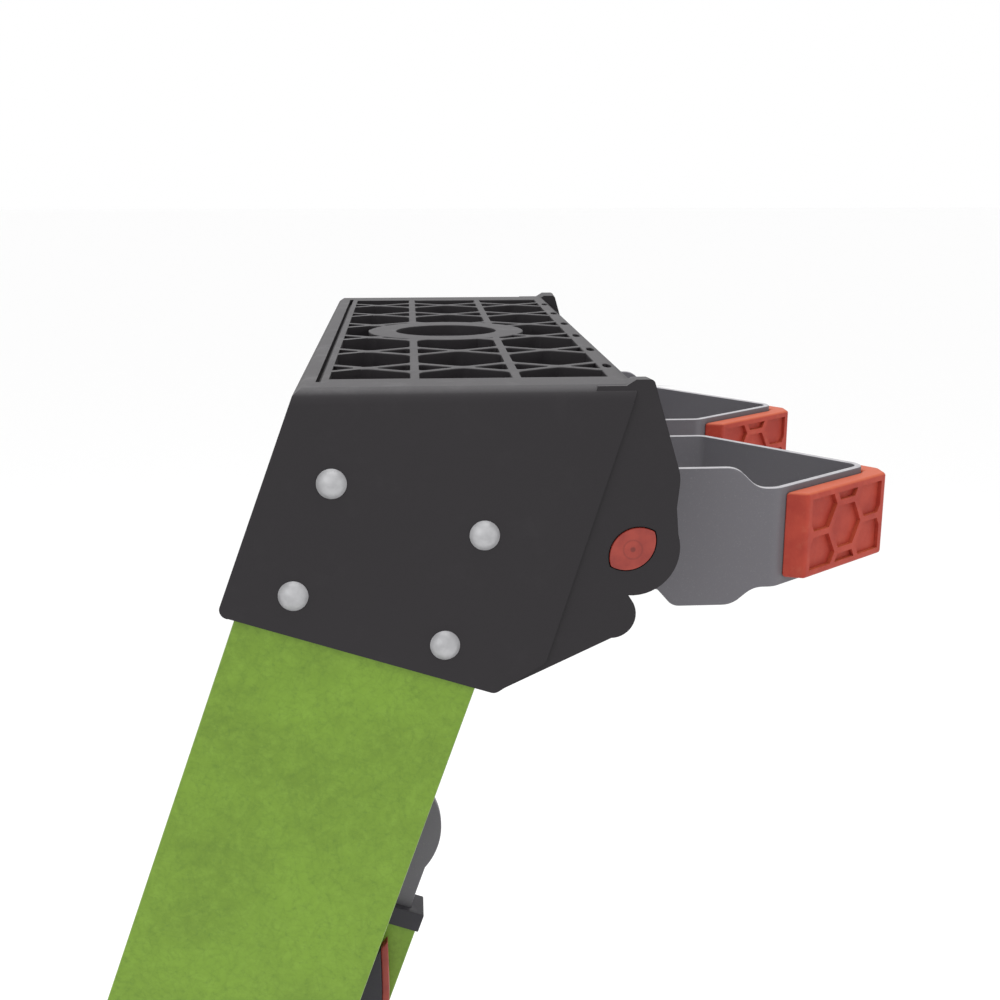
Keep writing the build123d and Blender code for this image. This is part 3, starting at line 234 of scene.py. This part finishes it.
def grey_powder_coat():
    """Baked powder coat: orange peel, fine metallic flecks painted as pale glints, and a painted
    highlight on faces turned up.
    """
    finish = Finish("grey_powder_coat", Metallic=0.1, Specular_IOR_Level=0.4)
    peel = finish.noise(1.7 * MM, 1.0, 0.4)
    fleck_glint = finish.noise(0.45 * MM, 1.0, 0.5).ramp(0.62, 0.78)
    cloud = finish.noise(60 * MM, 3.0)
    highlight_patches = finish.noise(6 * MM, 4.0, 0.7).ramp(0.35, 0.6)
    top_lit_mask = finish.facing("Z").ramp(0.25, 0.7)
    colour = finish.mix(cloud * 0.7, rgb(96, 94, 99), rgb(105, 103, 108))
    # Painted glints: the metallic flecks are lightened in the colour, in small specks.
    colour = finish.mix(fleck_glint * 0.2, colour, rgb(150, 148, 152))
    # Painted highlight: faces turned up are lightened towards a pale grey, in uneven patches.
    colour = finish.mix(top_lit_mask * (0.7 + highlight_patches * 0.2), colour, rgb(168, 167, 170))
    finish.set(Base_Color=colour, Roughness=0.44 + cloud * 0.1 + peel * 0.06)
    finish.bump(peel, 0.05 * MM, 0.5)
    return finish.material


def orange_rubber():
    """Moulded rubber: fine grain, a dull bloom, a painted highlight on faces turned up, and patches
    of pale dust.
    """
    finish = Finish("orange_grip", Specular_IOR_Level=0.25)
    cloud = finish.noise(14 * MM, 4.0, 0.6)
    grain = finish.noise(0.9 * MM, 2.0, 0.6)
    dust = finish.noise(5 * MM, 3.0, 0.7).ramp(0.5, 0.8)
    colour = finish.mix(cloud.ramp(0.3, 0.7), rgb(152, 50, 38), rgb(168, 62, 46))
    # Painted highlight: faces turned up are lightened towards a paler orange.
    colour = finish.mix(finish.facing("Z").ramp(0.2, 0.75) * 0.8, colour, rgb(176, 84, 54))
    colour = finish.mix(dust * 0.15, colour, rgb(190, 116, 92))
    finish.set(Base_Color=colour, Roughness=0.5 + dust * 0.08 + grain * 0.08)
    finish.bump(grain, 0.08 * MM, 0.6)
    return finish.material


def black_rubber():
    """Black sole rubber with grey floor dust in its grain."""
    finish = Finish("sole_black", Specular_IOR_Level=0.25)
    cloud = finish.noise(14 * MM, 4.0, 0.6)
    grain = finish.noise(1.4 * MM, 2.0, 0.6)
    dust = finish.noise(5 * MM, 4.0, 0.7).ramp(0.5, 0.75)
    colour = finish.mix(cloud.ramp(0.3, 0.7), rgb(26, 26, 27), rgb(38, 38, 39))
    colour = finish.mix(dust * 0.25, colour, rgb(98, 96, 92))
    finish.set(Base_Color=colour, Roughness=0.66 + dust * 0.1 + grain * 0.06)
    finish.bump(grain, 0.1 * MM, 0.6)
    return finish.material


def extruded_aluminium():
    """Bare metal with drawing lines along the treads, faint stains and small handling marks."""
    finish = Finish("extruded_aluminium", Metallic=1.0)
    lines = finish.noise(0.6 * MM, 3.0, 0.7, finish.turned(stretch=(1, 50, 1)))
    stain = finish.noise(30 * MM, 4.0, 0.6)
    marks = finish.noise(1.6 * MM, 2.0, 0.6).ramp(0.55, 0.75)
    body = finish.mix(stain * 0.6 + marks * 0.3, rgb(205, 206, 208), rgb(178, 180, 184))
    finish.set(Base_Color=body, Roughness=0.3 + lines * 0.16 + stain * 0.08 + marks * 0.05)
    finish.bump(lines * 0.7 + marks * 0.3, 0.035 * MM, 0.5)
    return finish.material


def plated_steel():
    """Zinc plate with its faint crystalline spangle."""
    finish = Finish("zinc_plated_steel", Metallic=1.0)
    spangle = finish.cells(3.4 * MM)
    haze = finish.noise(18 * MM, 3.0)
    body = finish.mix(spangle.ramp(0.1, 0.7), rgb(196, 198, 204), rgb(166, 170, 178))
    finish.set(Base_Color=body, Roughness=0.28 + haze * 0.14 + spangle * 0.06)
    finish.bump(spangle, 0.02 * MM, 0.4)
    return finish.material


def rivet_metal():
    """Satin aluminium, as a formed rivet head shows, a little dull in patches."""
    finish = Finish("satin_rivet", Metallic=0.35, Specular_IOR_Level=0.6)
    grain = finish.noise(0.5 * MM, 2.0, 0.5)
    cloud = finish.noise(5 * MM, 3.0, 0.6)
    body = finish.mix(cloud.ramp(0.3, 0.7), rgb(160, 160, 162), rgb(174, 174, 176))
    finish.set(Base_Color=body, Roughness=0.34 + cloud * 0.12 + grain * 0.06)
    finish.bump(grain, 0.012 * MM, 0.4)
    return finish.material


def button_plastic():
    """Orange moulding with an ejector mark in the middle: a sunken dot and a fainter ring round it,
    darkened with painted shade.
    """
    gloss = {"Specular_IOR_Level": 0.4, "Coat_Weight": 0.1, "Coat_Roughness": 0.3}
    finish = Finish("orange_moulding", **gloss)
    cloud = finish.noise(7 * MM, 3.0)
    grain = finish.noise(0.8 * MM, 2.0)
    away = finish.distance(BUTTON_OFFSET, 1 * MM)
    ring = away.ramp(3.0, 3.4) - away.ramp(3.6, 4.0)
    mark = away.ramp(1.2, 0.7) + ring * 0.45
    body = finish.mix(cloud.ramp(0.3, 0.7), rgb(132, 44, 36), rgb(150, 56, 44))
    # Painted shade: the ejector mark's dot and ring are darkened where they are sunk in.
    body = finish.mix(mark * 0.7, body, rgb(92, 28, 24))
    finish.set(Base_Color=body, Roughness=0.42 + grain * 0.12)
    finish.bump(grain * 0.3 - mark, 0.12 * MM, 0.6)
    return finish.material


finishes = {
    "cap_plastic": moulded_plastic("cap_black", rgb(31, 28, 31), rgb(38, 35, 38), top_highlight_and_wear=0.4),
    "fibreglass": fibreglass(),
    "black_plastic": moulded_plastic("trim_black", rgb(44, 42, 49), rgb(54, 52, 58), rough=0.38),
    "sole_rubber": black_rubber(),
    "boot_plastic": moulded_plastic("boot_grey", rgb(40, 40, 42), rgb(52, 52, 54), 1.1 * MM, 0.5),
    "grey_paint": grey_powder_coat(),
    "orange_rubber": orange_rubber(),
    "orange_plastic": button_plastic(),
    "step_aluminium": extruded_aluminium(),
    "rivet_aluminium": rivet_metal(),
    "plated_steel": plated_steel(),
}


# ---- Modelling helpers ---------------------------------------------------------------------------

# Edges turning more than these many degrees are shaded sharp, rounded all over a piece, or rounded
# in a chosen place.
SHADED_SHARP, SOFTENED, ROUNDED = 40.0, 35.0, 50.0
# Points closer than this are one point in a CAD node's loose triangles.
WELD = 0.002 * MM
# How far from a flat face's height its own points may lie.
LEVEL = 0.02 * MM


def pick(piece):
    """Selects one object and nothing else, and makes it the active one."""
    bpy.ops.object.select_all(action="DESELECT")
    piece.select_set(True)
    bpy.context.view_layer.objects.active = piece


def edit(piece):
    """Opens a piece in edit mode with all of it selected."""
    pick(piece)
    bpy.ops.object.mode_set(mode="EDIT")
    bpy.ops.mesh.select_all(action="SELECT")


def leave():
    bpy.ops.object.mode_set(mode="OBJECT")


def add_modifier(piece, kind, **settings):
    """Adds a modifier and applies it at once."""
    modifier = piece.modifiers.new(kind.lower(), kind)
    for key, value in settings.items():
        setattr(modifier, key, value)
    pick(piece)
    bpy.ops.object.modifier_apply(modifier=modifier.name)


def shade(piece):
    """Smooth shading that keeps the large flat faces flat."""
    pick(piece)
    bpy.ops.object.shade_smooth_by_angle(angle=math.radians(SHADED_SHARP))
    add_modifier(piece, "WEIGHTED_NORMAL", keep_sharp=True, weight=100)


def soften(piece, width):
    """Rounds every sharp edge of a piece."""
    settings = {"width": width, "segments": 2, "limit_method": "ANGLE"}
    settings.update(use_clamp_overlap=False, loop_slide=False)
    add_modifier(piece, "BEVEL", angle_limit=math.radians(SOFTENED), **settings)
    shade(piece)


def round_edges(piece, chosen, width, segments):
    """Rounds the sharp edges whose two ends both lie in the chosen place."""
    edit(piece)
    bpy.ops.mesh.select_mode(type="EDGE")
    bpy.ops.mesh.select_all(action="DESELECT")
    bpy.ops.mesh.edges_select_sharp(sharpness=math.radians(ROUNDED))
    leave()
    points = [vertex.co for vertex in piece.data.vertices]
    sharp = [line.select for line in piece.data.edges]
    for part in (*piece.data.vertices, *piece.data.polygons):
        part.select = False
    for line, keen in zip(piece.data.edges, sharp):
        line.select = keen and all(chosen(points[index]) for index in line.vertices)
    bpy.ops.object.mode_set(mode="EDIT")
    settings = {"affect": "EDGES", "clamp_overlap": False, "loop_slide": False}
    bpy.ops.mesh.bevel(offset=width, segments=segments, **settings)
    leave()


def merged_copy(node, name):
    """A copy of a CAD node as one welded mesh."""
    piece = frame["nodes"][node].copy()
    piece.data = piece.data.copy()
    for key in list(piece.keys()):
        del piece[key]
    piece.parent = None
    piece.name = name
    piece.data.name = name
    bpy.context.scene.collection.objects.link(piece)
    edit(piece)
    bpy.ops.mesh.remove_doubles(threshold=WELD)
    bpy.ops.mesh.customdata_custom_splitnormals_clear()
    leave()
    return piece


def paint(piece, slot):
    piece.data.materials.clear()
    piece.data.materials.append(finishes[slot])


def settle(piece, node, *others):
    """Hands a finished piece to the frame: its body, its finish and the CAD nodes it stands for."""
    body = frame["nodes"][node]["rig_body"]
    slot = slots[node]
    paint(piece, slot)
    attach(piece, body)
    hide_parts(node, *others)


# ---- The ladder's pieces -------------------------------------------------------------------------

slots = {entry["node"]: entry["material_slot"] for entry in frame["record"]["subparts"]}

# Edge radii of the real pieces, by how their nodes' names begin.
EDGE = {
    "front_rail": 0.9 * MM,
    "rear_rail": 0.8 * MM,
    "hinge_bracket": 0.4 * MM,
    "hinge_plate": 0.6 * MM,
    "step_": 0.5 * MM,
    "knee_brace": 0.4 * MM,
    "front_foot": 1.2 * MM,
    "rear_foot": 1.0 * MM,
    "rear_rail_cap": 0.5 * MM,
    "rear_rung": 0.5 * MM,
    "spreader": 0.4 * MM,
    "lock_lever": 0.7 * MM,
    "wall_pad_loop": 0.7 * MM,
    "shaft_collars": 0.5 * MM,
    "release_button": 0.4 * MM,
}


def edge_of(node):
    """The longest matching name wins, so a rail's end cap doesn't take the rail's radius."""
    names = [name for name in EDGE if node.startswith(name)]
    return EDGE[max(names, key=len)] if names else None


# The cap's deck is flat this near its middle, and its tray ends these far inside its outline.
CAP_MIDDLE = 60 * MM
TRAY_FRONT, TRAY_BACK, TRAY_END = 51 * MM, 9 * MM, 20 * MM
TRAY_EDGE, GRIP_EDGE = 0.6 * MM, 1.3 * MM


def make_cap():
    """The top cap, with the upper edges of its tray's ribs and of its oval rounded over."""
    cap = merged_copy("top_cap", "top_cap_finished")
    low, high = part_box("top_cap")
    deck = max(vertex.co.z for vertex in cap.data.vertices if abs(vertex.co.y) < CAP_MIDDLE)

    def on_tray(point):
        across = low.x + TRAY_FRONT < point.x < high.x - TRAY_BACK
        along = abs(point.y) < high.y - TRAY_END
        return across and along and abs(point.z - deck) < LEVEL

    round_edges(cap, on_tray, TRAY_EDGE, 2)
    shade(cap)
    settle(cap, "top_cap")


def make_grip(node):
    """A rubber nose with its upper and lower outer edges rounded over."""
    grip = merged_copy(node, node + "_finished")
    low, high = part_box(node)

    def on_rim(point):
        return min(abs(point.z - low.z), abs(point.z - high.z)) < LEVEL

    round_edges(grip, on_rim, GRIP_EDGE, 3)
    shade(grip)
    settle(grip, node)


grips = ("wall_pad_grip_left", "wall_pad_grip_right")
make_cap()
for node in grips:
    make_grip(node)

# Rivets and pins keep their CAD shape, which is round already; so does what has no radius above.
for node in sorted(set(frame["nodes"]) - {"top_cap", *grips}):
    if edge_of(node) and "rivets" not in node and "pins" not in node:
        piece = merged_copy(node, node + "_finished")
        soften(piece, edge_of(node))
        settle(piece, node)
    else:
        paint(frame["nodes"][node], slots[node])


# ---- Floor, light and camera ---------------------------------------------------------------------

FLOOR_SIZE, WORLD_LIGHT = 120.0, 1.0
SENSOR, LENS = 36.0, 46.1
CAMERA_PLACE = (233.25 * MM, -616.6 * MM, 1797.2 * MM)
CAMERA_PITCH, CAMERA_YAW = 14.51, 4.04


def make_floor():
    bpy.ops.object.select_all(action="DESELECT")
    bpy.ops.mesh.primitive_plane_add(size=FLOOR_SIZE)
    floor = bpy.context.object
    floor.name = "studio_floor"
    finish = Finish("pale_floor", Roughness=0.9, Specular_IOR_Level=0.1)
    finish.set(Base_Color=rgb(253, 253, 253))
    floor.data.materials.append(finish.material)


def make_world():
    world = bpy.data.worlds.new("studio")
    bpy.context.scene.world = world
    world.use_nodes = True
    background = world.node_tree.nodes["Background"]
    background.inputs["Color"].default_value = (1.0, 1.0, 1.0, 1.0)
    background.inputs["Strength"].default_value = WORLD_LIGHT


def add_softbox(name, place, target, size, power):
    """A rectangular light of this size and power in watts, turned to the target."""
    light = bpy.data.lights.new(name, "AREA")
    light.shape = "RECTANGLE"
    light.size, light.size_y = size
    light.energy = power
    lamp = bpy.data.objects.new(name, light)
    bpy.context.scene.collection.objects.link(lamp)
    lamp.location = place
    lamp.rotation_euler = (Vector(target) - Vector(place)).to_track_quat("-Z", "Y").to_euler()


def make_camera():
    data = bpy.data.cameras.new("viewpoint")
    data.sensor_width = SENSOR
    data.lens = LENS
    camera = bpy.data.objects.new("viewpoint", data)
    bpy.context.scene.collection.objects.link(camera)
    camera.location = CAMERA_PLACE
    camera.rotation_euler = (math.radians(90.0 - CAMERA_PITCH), 0.0, -math.radians(CAMERA_YAW))
    bpy.context.scene.camera = camera


cap_low, cap_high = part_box("top_cap")
cap_middle = (cap_low + cap_high) / 2
make_floor()
make_world()
add_softbox("overhead", cap_middle + Vector((0.1, 0.5, 2.4)), cap_middle, (2.6, 2.6), 52.0)
add_softbox("key", cap_middle + Vector((-1.9, -2.2, 1.3)), cap_middle, (1.8, 1.8), 16.0)
add_softbox("fill", cap_middle + Vector((2.4, -1.6, 0.2)), cap_middle, (1.6, 2.2), 5.0)
make_camera()
bpy.context.scene.view_settings.view_transform = "Standard"
